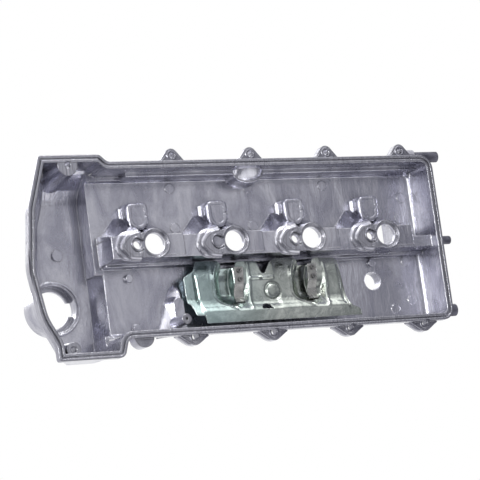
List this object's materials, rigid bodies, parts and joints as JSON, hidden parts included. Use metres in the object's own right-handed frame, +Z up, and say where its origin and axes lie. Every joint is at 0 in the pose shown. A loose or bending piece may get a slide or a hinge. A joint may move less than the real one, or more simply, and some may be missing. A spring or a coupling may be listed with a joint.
{
  "type": "engine valve cover",
  "caption": "Cast engine valve cover with plug wells along a central spine, bolt ears, a deeper timing end with oil filler neck, hose pipes and a pressed oil baffle inside.",
  "frame": {"origin": "middle of the bounding box's footprint, in the plane of the gasket face", "axes": "+X from the timing end to the hose end along the row of plug wells, +Y towards the oil filler side, +Z up, away from the gasket face to the outside of the cover"},
  "size_m": [0.5289, 0.225, 0.079],
  "materials": {
    "cast_alloy": "as cast, satin, machined on the gasket face",
    "plated_sheet": "zinc plated sheet, satin",
    "strap_steel": "plain sheet, satin",
    "screw_steel": "satin",
    "pipe_steel": "dull dark steel"
  },
  "bodies": {
    "root": {"cover_casting": "cast_alloy", "baffle_plate": "plated_sheet", "baffle_strap_1": "strap_steel", "baffle_strap_2": "strap_steel", "baffle_screws": "screw_steel", "vacuum_pipe": "pipe_steel", "return_pipe": "pipe_steel", "breather_pipe": "pipe_steel"}
  },
  "joints": []
}
